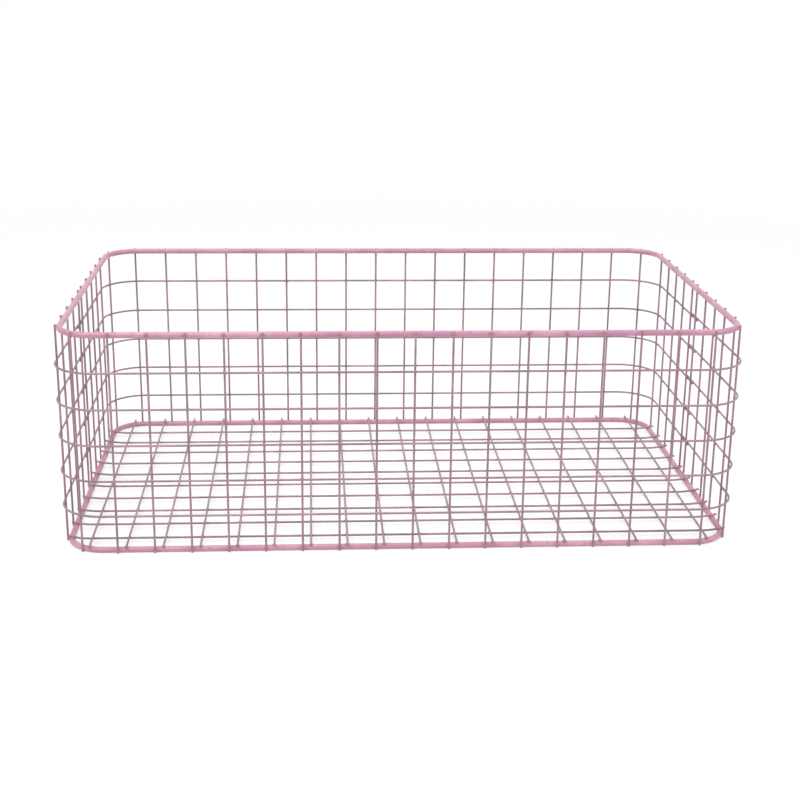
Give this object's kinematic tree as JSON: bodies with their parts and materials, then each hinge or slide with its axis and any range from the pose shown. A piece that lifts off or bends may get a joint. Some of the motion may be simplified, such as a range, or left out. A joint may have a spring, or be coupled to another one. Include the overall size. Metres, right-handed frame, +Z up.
{
  "type": "wire locker basket",
  "caption": "Open-topped rectangular basket of welded, coated steel wire, with rounded corners, a thick rod rim and base frame, and mesh walls and floor.",
  "frame": {"origin": "centre of the footprint, on the surface that the basket stands on", "axes": "+X along the long side, to the right as seen from the front; +Y from the front wall to the back wall; +Z up"},
  "size_m": [0.4728, 0.2848, 0.157],
  "materials": {
    "rod_coating": "satin",
    "wire_coating": "satin"
  },
  "bodies": {
    "root": {"back_hoop_1": "wire_coating", "back_hoop_2": "wire_coating", "back_hoop_3": "wire_coating", "back_hoop_4": "wire_coating", "back_hoop_5": "wire_coating", "back_left_corner_uprights": "wire_coating", "back_left_end_uprights": "wire_coating", "back_right_corner_uprights": "wire_coating", "back_right_end_uprights": "wire_coating", "back_wall_uprights_1": "wire_coating", "back_wall_uprights_2": "wire_coating", "back_wall_uprights_3": "wire_coating", "back_wall_uprights_4": "wire_coating", "base_frame_corners": "rod_coating", "base_frame_rails": "rod_coating", "floor_cross_wire_01": "wire_coating", "floor_cross_wire_02": "wire_coating", "floor_cross_wire_03": "wire_coating", "floor_cross_wire_04": "wire_coating", "floor_cross_wire_05": "wire_coating", "floor_cross_wire_06": "wire_coating", "floor_cross_wire_07": "wire_coating", "floor_cross_wire_08": "wire_coating", "floor_cross_wire_09": "wire_coating", "floor_cross_wire_10": "wire_coating", "floor_cross_wire_11": "wire_coating", "floor_cross_wire_12": "wire_coating", "floor_cross_wire_13": "wire_coating", "floor_cross_wire_14": "wire_coating", "floor_cross_wire_15": "wire_coating", "floor_cross_wire_16": "wire_coating", "floor_cross_wire_17": "wire_coating", "floor_cross_wire_18": "wire_coating", "floor_long_wire_01": "wire_coating", "floor_long_wire_02": "wire_coating", "floor_long_wire_03": "wire_coating", "floor_long_wire_04": "wire_coating", "floor_long_wire_05": "wire_coating", "floor_long_wire_06": "wire_coating", "floor_long_wire_07": "wire_coating", "floor_long_wire_08": "wire_coating", "floor_long_wire_09": "wire_coating", "floor_long_wire_10": "wire_coating", "front_hoop_1": "wire_coating", "front_hoop_2": "wire_coating", "front_hoop_3": "wire_coating", "front_hoop_4": "wire_coating", "front_hoop_5": "wire_coating", "front_left_corner_uprights": "wire_coating", "front_left_end_uprights": "wire_coating", "front_right_corner_uprights": "wire_coating", "front_right_end_uprights": "wire_coating", "front_wall_uprights_1": "wire_coating", "front_wall_uprights_2": "wire_coating", "front_wall_uprights_3": "wire_coating", "front_wall_uprights_4": "wire_coating", "top_rim_corners": "rod_coating", "top_rim_rails": "rod_coating"}
  },
  "joints": []
}
